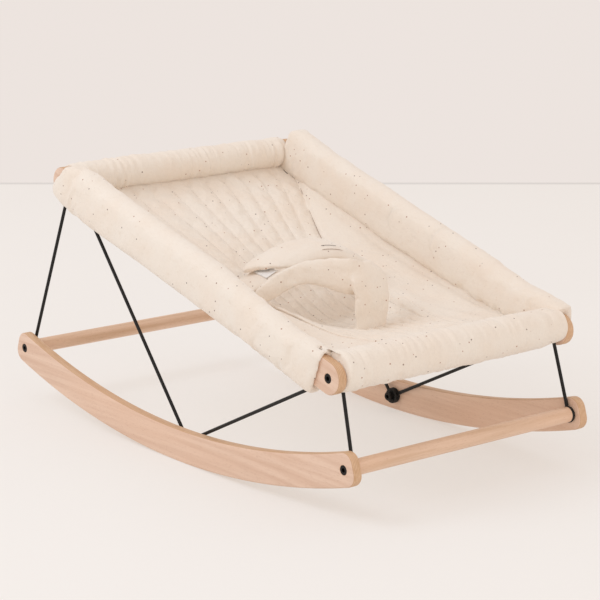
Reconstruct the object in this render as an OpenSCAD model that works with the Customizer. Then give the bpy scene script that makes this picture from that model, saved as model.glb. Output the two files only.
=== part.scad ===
// Rocking baby seat. Two plywood rockers carry a sloping wooden seat frame on eight steel rods, and a
// padded cotton cover with a quilted seat and a waist harness hangs in that frame like a hammock.
// X runs across the seat, -Y is the foot end, +Y is the head end, and the floor is Z = 0.

/* [Rockers] */
// Width over the outer faces of the rockers and the side rails
outer_w = 435; // [415:1:460]
// Thickness of the plywood
ply_t = 15; // [14:0.5:18]
// Radius of the rocker's underside
rocker_r = 1336; // [1300:1:1400]
// Depth of the rocker's arc
rocker_h = 47; // [42:1:50]
// Arc angle from the floor contact to the front bolt
front_angle = 16.15; // [15:0.05:17]
// Arc angle from the floor contact to the rear bolt
rear_angle = 17.9; // [17:0.05:19]
// Y of the point where the rockers touch the floor
contact_y = -19; // [-25:0.5:-15]

/* [Seat frame] */
// Depth of a side rail, whose ends are half round
rail_h = 45; // [42:1:48]
// Distance between the two bolts of a side rail
rail_len = 644; // [630:1:660]
// Slope of the side rails
rail_slope = 15.6; // [14:0.1:17]
// Y of a side rail's front bolt
rail_front_y = -352; // [-356:1:-348]
// Height of a side rail's front bolt
rail_front_z = 192; // [185:1:200]
// Diameter of the four wooden cross dowels
dowel_d = 22; // [20:1:25]

/* [Steel rods and bolts] */
// Diameter of the steel rods
rod_d = 5; // [4:0.5:6]
// Radius of a rod eye, at the middle of its wire
eye_r = 9.5; // [8.5:0.5:10]
// Diameter of the bolt shanks
bolt_d = 6; // [5:0.5:6]
// Diameter of the bolt heads
head_d = 13; // [11:0.5:14]

/* [Padded cover] */
// Thickness of a rail sleeve, across the seat
sleeve_w = 38; // [34:1:40]
// Depth of a rail sleeve, square to the rail
sleeve_h = 78; // [70:1:84]
// Radius of the padded sleeve on the head bar
head_pad_r = 24; // [20:1:26]
// Radius of the padded sleeve on the foot bar
foot_pad_r = 28; // [24:1:30]
// Thickness of the cover cloth
cloth_t = 1.6; // [1:0.1:2.5]
// Thickness of the quilted seat panel
quilt_t = 11; // [8:1:14]

/* [Harness] */
// Width of the crotch strap
crotch_w = 55; // [45:1:60]
// Width of the waist belt
belt_w = 55; // [45:1:60]
// Thickness of the padded straps
strap_t = 8; // [6:1:10]

/* [Hidden] */

round_fn = 96;             // facets of a round part, a true circle once exact
arc_fn = 720;              // facets of the large rocker circles
gap = 0.3;                 // air between two fabric pieces that only lie together
outer_x = outer_w / 2;
inner_x = outer_x - ply_t;
mid_r = rocker_r - rocker_h / 2;
arc_z = rocker_r;          // height of the rockers' common centre

// Centres of the bolts, as [y, z]
front_low = round_point(mid_r, -front_angle);
rear_low = round_point(mid_r, rear_angle);
middle = round_point(mid_r, 0.25);
front_top = [rail_front_y, rail_front_z];
rear_top = front_top + rail_len * [cos(rail_slope), sin(rail_slope)];

tip_r = 26;                        // radius of the circle that rounds a rocker's end
tip_angle = 0.28;                  // arc angle from that circle's middle to the end bolt

head_recess = 5.5;                 // depth of the recess for a bolt head
head_len = 5;                      // height of a bolt head
socket_d = 7;                      // hex socket across its corners
insert_r = 5;                      // outer radius of the threaded inserts
insert_len = 32;                   // length of an insert in a dowel
fit = 0.05;                        // running air round a shank, insert or bar
shank_end = 30;                    // how far a shank reaches into a dowel
middle_depth = 12;                 // depth of the insert in a rocker's middle

// Layers along X, from a rail's inner face inwards: one eye, then the second eye
eye_1_x = inner_x - rod_d / 2;
eye_2_x = eye_1_x - rod_d;
lower_end_x = inner_x - rod_d;
upper_end_x = inner_x - 2 * rod_d;
washer_t = 1.2;
washer_r = 9;

// ---------- general shapes ----------

// Turns a Y-Z outline into a slab that runs along X from x0 to x1
module slab(x0, x1) {
    translate([x0, 0, 0]) rotate([90, 0, 90]) linear_extrude(height = x1 - x0) children();
}

// A round bar along X through the Y-Z point p
module bar(p, r, x0, x1, sides = round_fn) {
    translate([x0, p[0], p[1]]) rotate([0, 90, 0]) cylinder(h = x1 - x0, r = r, $fn = sides);
}

module on_both_sides() {
    children();
    mirror([1, 0, 0]) children();
}

// Joins rings of equal point counts into one closed body
module loft(rings) {
    n = len(rings[0]);
    m = len(rings);
    points = [for (ring = rings) for (p = ring) p];
    sides = [for (i = [0 : m - 2]) for (j = [0 : n - 1])
        let (a = i * n + j, b = i * n + (j + 1) % n) each [[a, b, b + n], [a, b + n, a + n]]];
    first = [for (j = [n - 1 : -1 : 0]) j];
    last = [for (j = [0 : n - 1]) (m - 1) * n + j];
    polyhedron(points = points, faces = concat(sides, [first, last]), convexity = 6);
}

// ---------- wooden frame ----------

// A point on the circle of radius r about the rockers' common centre, at the arc angle a
function round_point(r, a) = [contact_y + r * sin(a), arc_z - r * cos(a)];

// The rocker's outline: a ring between two arcs, cut off by a circle at each end
module rocker_outline() {
    far = rocker_r * 1.2;
    intersection() {
        translate([contact_y, arc_z]) difference() {
            circle(r = rocker_r, $fn = arc_fn);
            circle(r = rocker_r - rocker_h, $fn = arc_fn);
        }
        union() {
            polygon([[contact_y, arc_z], round_point(far, -front_angle), round_point(far, 0),
                round_point(far, rear_angle)]);
            for (a = [tip_angle - front_angle, rear_angle - tip_angle])
                translate(round_point(mid_r, a)) circle(r = tip_r, $fn = round_fn);
        }
    }
}

module rocker(side) {
    color("burlywood") scale([side, 1, 1]) difference() {
        slab(inner_x, outer_x) rocker_outline();
        for (p = [front_low, rear_low]) {
            bar(p, bolt_d / 2 + fit, inner_x - 1, outer_x + 1);
            bar(p, head_d / 2 + 0.3, outer_x - head_recess, outer_x + 1);
        }
        bar(middle, insert_r + fit, inner_x - 1, inner_x + middle_depth + 0.2);
    }
}

// The side rail's outline, a bar with half-round ends, made larger all round by grow
module rail_outline(grow = 0) {
    translate(front_top) rotate(rail_slope) {
        translate([0, -rail_h / 2 - grow]) square([rail_len, rail_h + 2 * grow]);
        for (x = [0, rail_len]) translate([x, 0]) circle(r = rail_h / 2 + grow, $fn = round_fn);
    }
}

module side_rail(side) {
    color("burlywood") scale([side, 1, 1]) difference() {
        slab(inner_x, outer_x) rail_outline();
        for (p = [front_top, rear_top]) {
            bar(p, bolt_d / 2 + fit, inner_x - 1, outer_x + 1);
            bar(p, head_d / 2 + 0.3, outer_x - head_recess, outer_x + 1);
        }
    }
}

// A cross dowel that ends at +-end_x, bored at both ends for its inserts
module dowel(p, end_x) {
    color("tan") difference() {
        bar(p, dowel_d / 2, -end_x, end_x);
        on_both_sides() bar(p, insert_r + fit, end_x - insert_len - 1, end_x + 1);
    }
}

// ---------- steel rods, bolts and inserts ----------

// A straight rod from the Y-Z point p to q with a ring at each end; its ends may lie at two X layers
module rod(p, q, px, qx) {
    u = (q - p) / norm(q - p);
    a = [px, p[0] + u[0] * eye_r, p[1] + u[1] * eye_r];
    b = [qx, q[0] - u[0] * eye_r, q[1] - u[1] * eye_r];
    d = b - a;
    translate([px, p[0], p[1]]) eye();
    translate([qx, q[0], q[1]]) eye();
    translate(a) rotate([0, acos(d[2] / norm(d)), atan2(d[1], d[0])])
        cylinder(h = norm(d), r = rod_d / 2, $fn = round_fn / 2);
}

module eye() {
    rotate([0, 90, 0]) rotate_extrude($fn = round_fn)
        translate([eye_r, 0]) circle(r = rod_d / 2, $fn = round_fn / 2);
}

module rear_outer_rod(side) { color("dimgray") scale([side, 1, 1]) rod(rear_low, rear_top, eye_1_x, eye_1_x); }
module rear_inner_rod(side) { color("dimgray") scale([side, 1, 1]) rod(rear_top, middle, eye_2_x, eye_2_x); }
module front_inner_rod(side) { color("dimgray") scale([side, 1, 1]) rod(middle, front_top, eye_1_x, eye_1_x); }
module front_outer_rod(side) { color("dimgray") scale([side, 1, 1]) rod(front_top, front_low, eye_2_x, eye_1_x); }

// A bolt on the X axis line through p: head from head_x inwards, shank on to tip_x
module bolt(p, head_x, tip_x) {
    difference() {
        union() {
            bar(p, head_d / 2, head_x - head_len, head_x);
            bar(p, bolt_d / 2, tip_x, head_x - head_len);
        }
        bar(p, socket_d / 2, head_x - head_len * 0.6, head_x + 1, 6);
    }
}

module rocker_bolts() {
    color("black") on_both_sides() for (p = [front_low, rear_low])
        bolt(p, outer_x - 0.4, lower_end_x - shank_end);
}

module rail_bolts() {
    color("black") on_both_sides() for (p = [front_top, rear_top])
        bolt(p, outer_x - 0.4, upper_end_x - shank_end);
}

// The middle bolts go outwards: their heads lie inside, under the rods' shared eyes
module middle_bolts() {
    head_x = upper_end_x - washer_t;
    color("black") on_both_sides() difference() {
        union() {
            bar(middle, head_d / 2, head_x - head_len, head_x);
            bar(middle, bolt_d / 2, head_x, inner_x + middle_depth - 1);
        }
        bar(middle, socket_d / 2, head_x - head_len - 1, head_x - head_len * 0.4, 6);
    }
}

module middle_washers() {
    color("black") on_both_sides() difference() {
        bar(middle, washer_r, upper_end_x - washer_t, upper_end_x);
        bar(middle, bolt_d / 2 + fit, upper_end_x - 5, upper_end_x + 1);
    }
}

// A threaded sleeve round the line through p
module insert(p, x0, x1) {
    difference() {
        bar(p, insert_r, x0, x1);
        bar(p, bolt_d / 2 + fit, x0 - 1, x1 + 1);
    }
}

module lower_dowel_inserts() {
    color("gold") on_both_sides() for (p = [front_low, rear_low])
        insert(p, lower_end_x - insert_len, lower_end_x);
}

module upper_bar_inserts() {
    color("gold") on_both_sides() for (p = [front_top, rear_top])
        insert(p, upper_end_x - insert_len, upper_end_x);
}

module middle_inserts() {
    color("gold") on_both_sides() insert(middle, inner_x, inner_x + middle_depth);
}

// ---------- padded sleeves ----------

sleeve_x = inner_x + ply_t / 2;            // the sleeves are centred on the rails
sleeve_rise = 4;                           // padding stands higher above a rail than below it
left_front = 34;                           // a sleeve's ends, along the rail from its front bolt
right_front = 8;
sleeve_rear = 654;
head_pad = rear_top + [0, 3];
foot_pad = front_top + [-2, 7];
head_pad_x = sleeve_x - sleeve_w / 2 - gap;
foot_pad_x = inner_x - gap;
slot_r = rod_d / 2 + 1;                    // half-width of the slot that lets a rod out

// A section with two round ends, square to the rail, pushed along it
module rail_tube(from, to, inset) {
    r = sleeve_w / 2 - inset;
    reach = sleeve_h / 2 - sleeve_w / 2;
    translate([sleeve_x, front_top[0], front_top[1]]) rotate([rail_slope, 0, 0])
        translate([0, from, sleeve_rise]) rotate([-90, 0, 0])
            linear_extrude(height = to - from) {
                square([2 * r, 2 * reach], center = true);
                for (y = [-reach, reach]) translate([0, y]) circle(r = r, $fn = round_fn);
            }
}

// Room for the rail, the rods, their eyes and the bar's end inside the padding
module frame_room() {
    slab(inner_x - fit, outer_x + fit) rail_outline(fit);
    for (pair = [[rear_low, rear_top, eye_1_x], [rear_top, middle, eye_2_x], [middle, front_top, eye_1_x]])
        rod_room(pair[0], pair[1], pair[2], pair[2]);
    rod_room(front_top, front_low, eye_2_x, eye_1_x);
    bar(rear_top, eye_r + rod_d / 2 + 1, upper_end_x - 20, inner_x);
    bar(rear_top, head_d / 2 + 1, outer_x - 1, outer_x + 1);
}

// The space that a rod sweeps through the padding, from ring to ring
module rod_room(p, q, px, qx) {
    a = [px, p[0], p[1]];
    d = [qx, q[0], q[1]] - a;
    translate(a) rotate([0, acos(d[2] / norm(d)), atan2(d[1], d[0])])
        cylinder(h = norm(d), r = slot_r, $fn = round_fn / 2);
}

module rail_wadding(side, from) {
    color("ivory") scale([side, 1, 1]) difference() {
        rail_tube(from + 2, sleeve_rear - 2, cloth_t + fit);
        frame_room();
        bar(foot_pad, foot_pad_r + 2 * gap, 0, inner_x);
    }
}

module rail_sleeve(side, from) {
    color("antiquewhite") scale([side, 1, 1]) difference() {
        rail_tube(from, sleeve_rear, 0);
        rail_tube(from - 1, sleeve_rear + 1, cloth_t);
        frame_room();
        bar(foot_pad, foot_pad_r + gap, 0, inner_x);
    }
}

module head_bar_wadding() {
    color("ivory") difference() {
        bar(head_pad, head_pad_r - cloth_t - fit, 2 - head_pad_x, head_pad_x - 2);
        bar(rear_top, dowel_d / 2 + fit, -inner_x, inner_x);
    }
}

module head_bar_sleeve() {
    color("antiquewhite") difference() {
        bar(head_pad, head_pad_r, -head_pad_x, head_pad_x);
        bar(head_pad, head_pad_r - cloth_t, -inner_x, inner_x);
    }
}

// Room for the foot bar, the rod eyes at its ends and the rods that leave them
module foot_room() {
    bar(front_top, dowel_d / 2 + fit, -inner_x, inner_x);
    on_both_sides() {
        bar(front_top, eye_r + rod_d / 2 + 1, upper_end_x - 1, inner_x);
        rod_room(middle, front_top, eye_1_x, eye_1_x);
        rod_room(front_top, front_low, eye_2_x, eye_1_x);
    }
}

module foot_bar_wadding() {
    color("ivory") difference() {
        bar(foot_pad, foot_pad_r - cloth_t - fit, 2 - foot_pad_x, foot_pad_x - 2);
        foot_room();
    }
}

module foot_bar_sleeve() {
    color("antiquewhite") difference() {
        bar(foot_pad, foot_pad_r, -foot_pad_x, foot_pad_x);
        bar(foot_pad, foot_pad_r - cloth_t, -inner_x, inner_x);
        foot_room();
    }
}

// ---------- hammock seat ----------

panel_head_y = 252;
wing_head_y = 238;
panel_foot_y = -324;
panel_steps = 24;
panel_across = 8;
back_rise = 0.506;        // slope of the back rest
front_rise = 0.147;       // slope of the seat's front, up towards the foot bar
low_y = -75;              // where the two slopes meet
low_z = 178.5;
blend_r = 9;              // how softly they meet
dish_depth = 45;          // how much the seat's edges stand above its middle
dish_reach = 112;
head_half = 187;          // half-width of the panel at the head
taper = 0.2;              // loss of half-width for each mm towards the foot
wing_t = 4;
wing_edge_x = sleeve_x - sleeve_w / 2 - gap;

// Height of the seat's centre line
function seat_z(y) = let (b = low_z + back_rise * (y - low_y), f = low_z - front_rise * (y - low_y))
    (b + f) / 2 + sqrt(pow((b - f) / 2, 2) + blend_r * blend_r);
function seat_half(y) = head_half - taper * (panel_head_y - y);
function seat_dish(y) = dish_depth * exp(-pow((y + 80) / dish_reach, 2));
function seat_top(x, y) = seat_z(y) + seat_dish(y) * pow(x / seat_half(y), 2);
function rail_z(y) = rail_front_z + (y - rail_front_y) * tan(rail_slope);

// How far under the rail's centre line the side wing leaves the rail sleeve
WING_DROP = [[-330, 12], [-270, 17], [-190, 25], [-80, 29], [10, 30], [80, 22], [210, 3], [252, 0]];
function wing_edge_z(y) = rail_z(y) - lookup(y, WING_DROP);

function station(i, head) = head + (panel_foot_y - head) * i / panel_steps;

module seat_panel() {
    color("linen") loft([for (i = [0 : panel_steps]) let (y = station(i, panel_head_y), w = seat_half(y)) concat(
        [for (j = [0 : panel_across]) let (x = w * (2 * j / panel_across - 1)) [x, y, seat_top(x, y)]],
        [for (j = [panel_across : -1 : 0]) let (x = w * (2 * j / panel_across - 1))
            [x, y, seat_top(x, y) - quilt_t]]
    )]);
}

module side_wing(side) {
    color("antiquewhite") scale([side, 1, 1]) loft([for (i = [0 : panel_steps])
        let (y = station(i, wing_head_y), x = seat_half(y) + gap, z = seat_top(seat_half(y), y),
             e = wing_edge_z(y)) [
            [x, y, z], [wing_edge_x, y, e], [wing_edge_x, y, e - wing_t], [x, y, z - wing_t]
        ]]);
}

// ---------- harness ----------

// Crotch strap, as [y, z] of its middle line from the seat to its top edge
CROTCH = [[-180, 203], [-184, 222], [-183, 245], [-178, 268], [-166, 288], [-150, 299]];
// Hip wing, as [x, y, top z, bottom z] from the crotch strap out to its tip
HIP = [[30.8, -157, 303, 246], [45, -142, 302, 252], [60, -126, 297, 254], [76, -113, 290, 251],
       [92, -103, 280, 242], [106, -96, 264, 236], [117, -92, 253, 237]];
// The crotch strap folds about the X line through its first point, and the belt about the Y line
// through [136, 246], just outside its right end
belt_mid_y = -48;
belt_crown_x = 8;
belt_crown_z = 289;
belt_fall = 0.0024;       // how quickly the belt falls away from its crown
belt_tilt = 8;            // the belt's rear edge stands higher than its front edge
belt_left = -112;
belt_right = 133;
belt_steps = 20;

module crotch_strap() {
    w = crotch_w / 2;
    n = len(CROTCH);
    color("antiquewhite") loft([for (i = [0 : n - 1])
        let (d = CROTCH[min(i + 1, n - 1)] - CROTCH[max(i - 1, 0)], u = d / norm(d) * strap_t / 2, p = CROTCH[i]) [
            [-w, p[0] + u[1], p[1] - u[0]], [w, p[0] + u[1], p[1] - u[0]],
            [w, p[0] - u[1], p[1] + u[0]], [-w, p[0] - u[1], p[1] + u[0]]
        ]]);
}

module hip_wing(side) {
    n = len(HIP);
    color("antiquewhite") scale([side, 1, 1]) loft([for (i = [0 : n - 1])
        let (a = HIP[max(i - 1, 0)], b = HIP[min(i + 1, n - 1)], d = [b[0] - a[0], b[1] - a[1]],
             u = d / norm(d) * strap_t / 2, p = HIP[i]) [
            [p[0] + u[1], p[1] - u[0], p[3]], [p[0] + u[1], p[1] - u[0], p[2]],
            [p[0] - u[1], p[1] + u[0], p[2]], [p[0] - u[1], p[1] + u[0], p[3]]
        ]]);
}

function belt_z(x) = belt_crown_z - belt_fall * pow(x - belt_crown_x, 2);
function belt_lean(x) = atan(-2 * belt_fall * (x - belt_crown_x));

// Ring of the belt at x, half as wide as half, between two heights above its middle surface
function belt_ring(x, half, low, high) =
    let (lean = belt_lean(x), c = cos(belt_tilt), s = sin(belt_tilt), n = [-sin(lean), 0, cos(lean)],
         m = [x, belt_mid_y, belt_z(x)], v = [0, c * half, s * half])
    [m - v + n * low, m - v + n * high, m + v + n * high, m + v + n * low];

module waist_belt() {
    color("antiquewhite") loft([for (i = [0 : belt_steps])
        belt_ring(belt_left + (belt_right - belt_left) * i / belt_steps, belt_w / 2, 0, strap_t)]);
}

module belt_loop_patch() {
    step = (belt_right - belt_left) / belt_steps;
    color("white") loft([for (i = [1 : 4]) belt_ring(belt_left + i * step, belt_w / 2 - 8, -2 - gap, -gap)]);
}

// The short tab on the left seam that the belt closes on
TAB = [[-125, 240], [-122, 246], [-114, 251], [-98, 256], [-80, 264]];
tab_w = 44;

// A flat strip along the tab's line, from station first on, between two offsets from it
module tab_strip(first, half, low, high) {
    n = len(TAB);
    dz = half * tan(belt_tilt);
    loft([for (i = [first : n - 1])
        let (d = TAB[min(i + 1, n - 1)] - TAB[max(i - 1, 0)], u = [-d[1], d[0]] / norm(d), p = TAB[i]) [
            [p[0] + u[0] * low, belt_mid_y - half, p[1] + u[1] * low - dz],
            [p[0] + u[0] * low, belt_mid_y + half, p[1] + u[1] * low + dz],
            [p[0] + u[0] * high, belt_mid_y + half, p[1] + u[1] * high + dz],
            [p[0] + u[0] * high, belt_mid_y - half, p[1] + u[1] * high - dz]
        ]]);
}

module belt_tab() { color("antiquewhite") tab_strip(0, tab_w / 2, -5, 0); }
module tab_hook_patch() { color("white") tab_strip(2, tab_w / 2 - 5, gap, 1.5 + gap); }

rocker(-1);  // left_rocker
rocker(1);  // right_rocker
side_rail(-1);  // left_side_rail
side_rail(1);  // right_side_rail
dowel(rear_low, lower_end_x);  // rear_cross_dowel
dowel(front_low, lower_end_x);  // front_cross_dowel
dowel(rear_top, upper_end_x);  // head_bar
dowel(front_top, upper_end_x);  // foot_bar
rear_outer_rod(-1);  // left_rear_outer_rod
rear_inner_rod(-1);  // left_rear_inner_rod
front_inner_rod(-1);  // left_front_inner_rod
front_outer_rod(-1);  // left_front_outer_rod
rear_outer_rod(1);  // right_rear_outer_rod
rear_inner_rod(1);  // right_rear_inner_rod
front_inner_rod(1);  // right_front_inner_rod
front_outer_rod(1);  // right_front_outer_rod
rocker_bolts();
rail_bolts();
middle_bolts();
middle_washers();
lower_dowel_inserts();
upper_bar_inserts();
middle_inserts();
rail_wadding(-1, left_front);  // left_rail_wadding
rail_wadding(1, right_front);  // right_rail_wadding
head_bar_wadding();
foot_bar_wadding();
rail_sleeve(-1, left_front);  // left_rail_sleeve
rail_sleeve(1, right_front);  // right_rail_sleeve
head_bar_sleeve();
foot_bar_sleeve();
seat_panel();
side_wing(-1);  // left_side_wing
side_wing(1);  // right_side_wing
crotch_strap();
hip_wing(-1);  // left_hip_wing
hip_wing(1);  // right_hip_wing
waist_belt();
belt_loop_patch();
belt_tab();
tab_hook_patch();
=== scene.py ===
"""Rocking baby seat: the looks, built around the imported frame.

X runs across the seat, -Y is the foot end, +Y the head end and Z = 0 the floor. Everything is in metres.
Wood and steel come first, then the padded cover, the quilted seat, the harness, and last the studio.
"""

import math

import bmesh
import bpy
import numpy as np
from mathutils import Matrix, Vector, noise


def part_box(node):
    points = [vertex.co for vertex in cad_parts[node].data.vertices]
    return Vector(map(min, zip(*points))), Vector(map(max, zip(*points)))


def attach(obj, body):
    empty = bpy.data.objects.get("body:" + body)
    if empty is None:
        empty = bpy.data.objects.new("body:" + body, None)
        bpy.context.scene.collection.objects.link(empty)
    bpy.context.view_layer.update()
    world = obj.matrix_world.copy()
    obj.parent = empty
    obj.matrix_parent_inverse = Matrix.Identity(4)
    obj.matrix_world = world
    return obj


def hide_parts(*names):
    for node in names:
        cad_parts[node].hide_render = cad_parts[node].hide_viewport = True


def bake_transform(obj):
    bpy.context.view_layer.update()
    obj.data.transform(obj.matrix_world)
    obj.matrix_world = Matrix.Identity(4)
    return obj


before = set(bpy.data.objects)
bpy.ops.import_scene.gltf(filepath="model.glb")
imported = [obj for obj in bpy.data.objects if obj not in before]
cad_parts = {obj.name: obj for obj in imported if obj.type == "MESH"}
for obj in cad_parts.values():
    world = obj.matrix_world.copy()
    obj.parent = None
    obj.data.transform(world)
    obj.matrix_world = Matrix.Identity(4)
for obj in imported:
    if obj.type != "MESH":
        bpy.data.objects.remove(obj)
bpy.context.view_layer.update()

MM = 0.001
LEFT, RIGHT = -1, 1
SIDE_NAMES = {LEFT: "left", RIGHT: "right"}

# ---------- places read from the frame ----------


def middle_of(node):
    low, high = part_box(node)
    return (low + high) / 2


FOOT = middle_of("foot_bar")
HEAD = middle_of("head_bar")
LOW_FRONT = middle_of("front_cross_dowel")
LOW_REAR = middle_of("rear_cross_dowel")
LOW_MIDDLE = middle_of("middle_washers")
RAIL_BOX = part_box("right_side_rail")
INNER_X, OUTER_X = RAIL_BOX[0].x, RAIL_BOX[1].x
MID_X = (INNER_X + OUTER_X) / 2
RAIL_R = FOOT.y - RAIL_BOX[0].y  # half the rail's depth, and the radius of its ends
RAIL_LEN = (HEAD - FOOT).length
ALONG = (HEAD - FOOT).normalized()
UP = Vector((0, -ALONG.z, ALONG.y))  # square to the rail, away from the floor


def on_rail(s, t, x):
    """The point s along the rail from its front bolt and t above its centre line, at X."""
    return FOOT + ALONG * s + UP * t + Vector((x, 0, 0))


# ---------- meshes ----------


def new_object(name, points, faces):
    mesh = bpy.data.meshes.new(name)
    mesh.from_pydata([tuple(p) for p in points], [], [tuple(f) for f in faces])
    mesh.validate()
    mesh.update()
    mesh.shade_smooth()
    piece = bpy.data.objects.new(name, mesh)
    bpy.context.scene.collection.objects.link(piece)
    return piece


def repair_normals(piece):
    work = bmesh.new()
    work.from_mesh(piece.data)
    bmesh.ops.recalc_face_normals(work, faces=work.faces)
    work.to_mesh(piece.data)
    work.free()
    return piece


def loft(name, *tubes):
    """A closed skin through each tube's rings, which have equal point counts, with a fan at both ends."""
    points, faces = [], []
    for rings in tubes:
        n, start = len(rings[0]), len(points)
        points += [Vector(p) for ring in rings for p in ring]
        last = len(points) - n
        for a in range(start, last, n):
            faces += [(a + j, a + (j + 1) % n, a + n + (j + 1) % n, a + n + j) for j in range(n)]
        for first, turn in ((start, -1), (last, 1)):
            tip = len(points)
            points.append(sum(points[first:first + n], Vector()) / n)
            faces += [(first + j, first + (j + 1) % n, tip)[::turn] for j in range(n)]
    return repair_normals(new_object(name, points, faces))


def two_cloths(name, across, rows, pair):
    """A closed skin of two cloths sewn round their rim. pair(w, v) gives a point of the upper cloth and one
    of the lower, for w from 0 to 1 across and v from 0 to 1 along."""
    grid = [pair(i / across, j / rows) for j in range(rows + 1) for i in range(across + 1)]
    top, under = zip(*grid)
    wide, count, faces = across + 1, len(grid), []
    for j in range(rows):
        for i in range(across):
            a = j * wide + i
            faces.append((a, a + 1, a + wide + 1, a + wide))
            faces.append((count + a, count + a + wide, count + a + wide + 1, count + a + 1))
    rim = list(range(wide)) + [j * wide + across for j in range(1, rows + 1)]
    rim += [rows * wide + i for i in range(across - 1, -1, -1)]
    rim += [j * wide for j in range(rows - 1, 0, -1)]
    faces += [(a, count + a, count + b, b) for a, b in zip(rim, rim[1:] + rim[:1])]
    return repair_normals(new_object(name, top + under, faces))


def apply_modifiers(piece):
    graph = bpy.context.evaluated_depsgraph_get()
    mesh = bpy.data.meshes.new_from_object(piece.evaluated_get(graph))
    piece.modifiers.clear()
    old = piece.data
    piece.data = mesh
    bpy.data.meshes.remove(old)
    mesh.name = piece.name


def modify(piece, kind, **settings):
    """Adds a modifier and applies it."""
    modifier = piece.modifiers.new(kind.lower(), kind)
    for key, value in settings.items():
        setattr(modifier, key, value)
    apply_modifiers(piece)


def remesh(piece, voxel, rounds):
    modify(piece, "REMESH", mode="VOXEL", voxel_size=voxel, use_smooth_shade=True)
    modify(piece, "SMOOTH", factor=0.5, iterations=rounds)


def subdivide(piece):
    modify(piece, "SUBSURF", levels=1)
    piece.data.shade_smooth()


def coords(mesh):
    co = np.empty(len(mesh.vertices) * 3, np.float32)
    mesh.vertices.foreach_get("co", co)
    return co.reshape(-1, 3).astype(float)


def set_coords(mesh, co):
    mesh.vertices.foreach_set("co", co.astype(np.float32).ravel())
    mesh.update()


def push(piece, depth):
    """Moves each vertex along its normal by depth(point)."""
    mesh = piece.data
    normals = np.array([n.vector for n in mesh.vertex_normals])
    co = coords(mesh)
    set_coords(mesh, co + normals * np.array([depth(Vector(p)) for p in co])[:, None])


def smooth_step(x):
    x = min(max(x, 0.0), 1.0)
    return x * x * (3 - 2 * x)


def eased(share, rate):
    """Rises from 0 at share 0 and falls back to 0 at share 1."""
    return smooth_step(share * rate) * smooth_step((1 - share) * rate)


def bell(x, width):
    return math.exp(-(x / width) ** 2)


def uneven(*place):
    """Smooth noise, between -1 and 1."""
    return noise.noise(Vector(place))


def mix(a, b, share):
    return a + (b - a) * share


def spread(a, b, steps):
    return [mix(a, b, k / steps) for k in range(steps + 1)]


def between(x, table):
    """Smooth value at x from [(x, value), ...] in rising x."""
    if x <= table[0][0]:
        return table[0][1]
    for (x0, v0), (x1, v1) in zip(table, table[1:]):
        if x <= x1:
            return mix(v0, v1, smooth_step((x - x0) / (x1 - x0)))
    return table[-1][1]


def signed_power(value, power):
    return math.copysign(abs(value) ** power, value)


def round_angles(count):
    return [2 * math.pi * k / count for k in range(count)]


def spline(points, steps):
    """Catmull-Rom points through the given ones, steps to each span."""
    p = [Vector(q) for q in points]
    p = [p[0] * 2 - p[1]] + p + [p[-1] * 2 - p[-2]]
    out = []
    for i in range(1, len(p) - 2):
        a, b, c, d = p[i - 1:i + 3]
        for k in range(steps):
            t = k / steps
            out.append((b * 2 + (c - a) * t + (a * 2 - b * 5 + c * 4 - d) * t * t
                        + (b * 3 - a - c * 3 + d) * t ** 3) / 2)
    return out + [p[-2]]


# ---------- cloth simulation ----------

FRAMES = 20


def puff(piece, pressure, cap, pinned, slack, bending=0.4):
    """Fills a closed mesh with air as cotton cloth and subdivides it once. No point moves further than cap.
    pinned(point) says how firmly a point is held, from 0 to 1, and slack is the cloth's spare length."""
    scene = bpy.context.scene
    before = coords(piece.data)
    group = piece.vertex_groups.new(name="pinned")
    for i, p in enumerate(before):
        weight = pinned(p)
        if weight > 0:
            group.add([i], weight, "REPLACE")
    cloth = piece.modifiers.new("cloth", "CLOTH")
    s = cloth.settings
    s.quality = 6
    s.mass = 0.25
    s.tension_stiffness = s.compression_stiffness = 12
    s.shear_stiffness = 4
    s.bending_stiffness = bending
    s.air_damping = 3
    s.use_pressure = True
    s.uniform_pressure_force = pressure
    s.shrink_min = -slack
    s.effector_weights.gravity = 0
    s.vertex_group_mass = "pinned"
    cloth.point_cache.frame_start, cloth.point_cache.frame_end = 1, FRAMES
    for number in range(1, FRAMES + 1):
        scene.frame_set(number)
    apply_modifiers(piece)
    after = coords(piece.data)
    moved = after - before
    far = np.linalg.norm(moved, axis=1, keepdims=True)
    set_coords(piece.data, before + moved * np.minimum(1, cap / np.maximum(far, 1e-9)))
    piece.vertex_groups.clear()
    scene.frame_set(1)
    subdivide(piece)


# ---------- materials ----------


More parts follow.
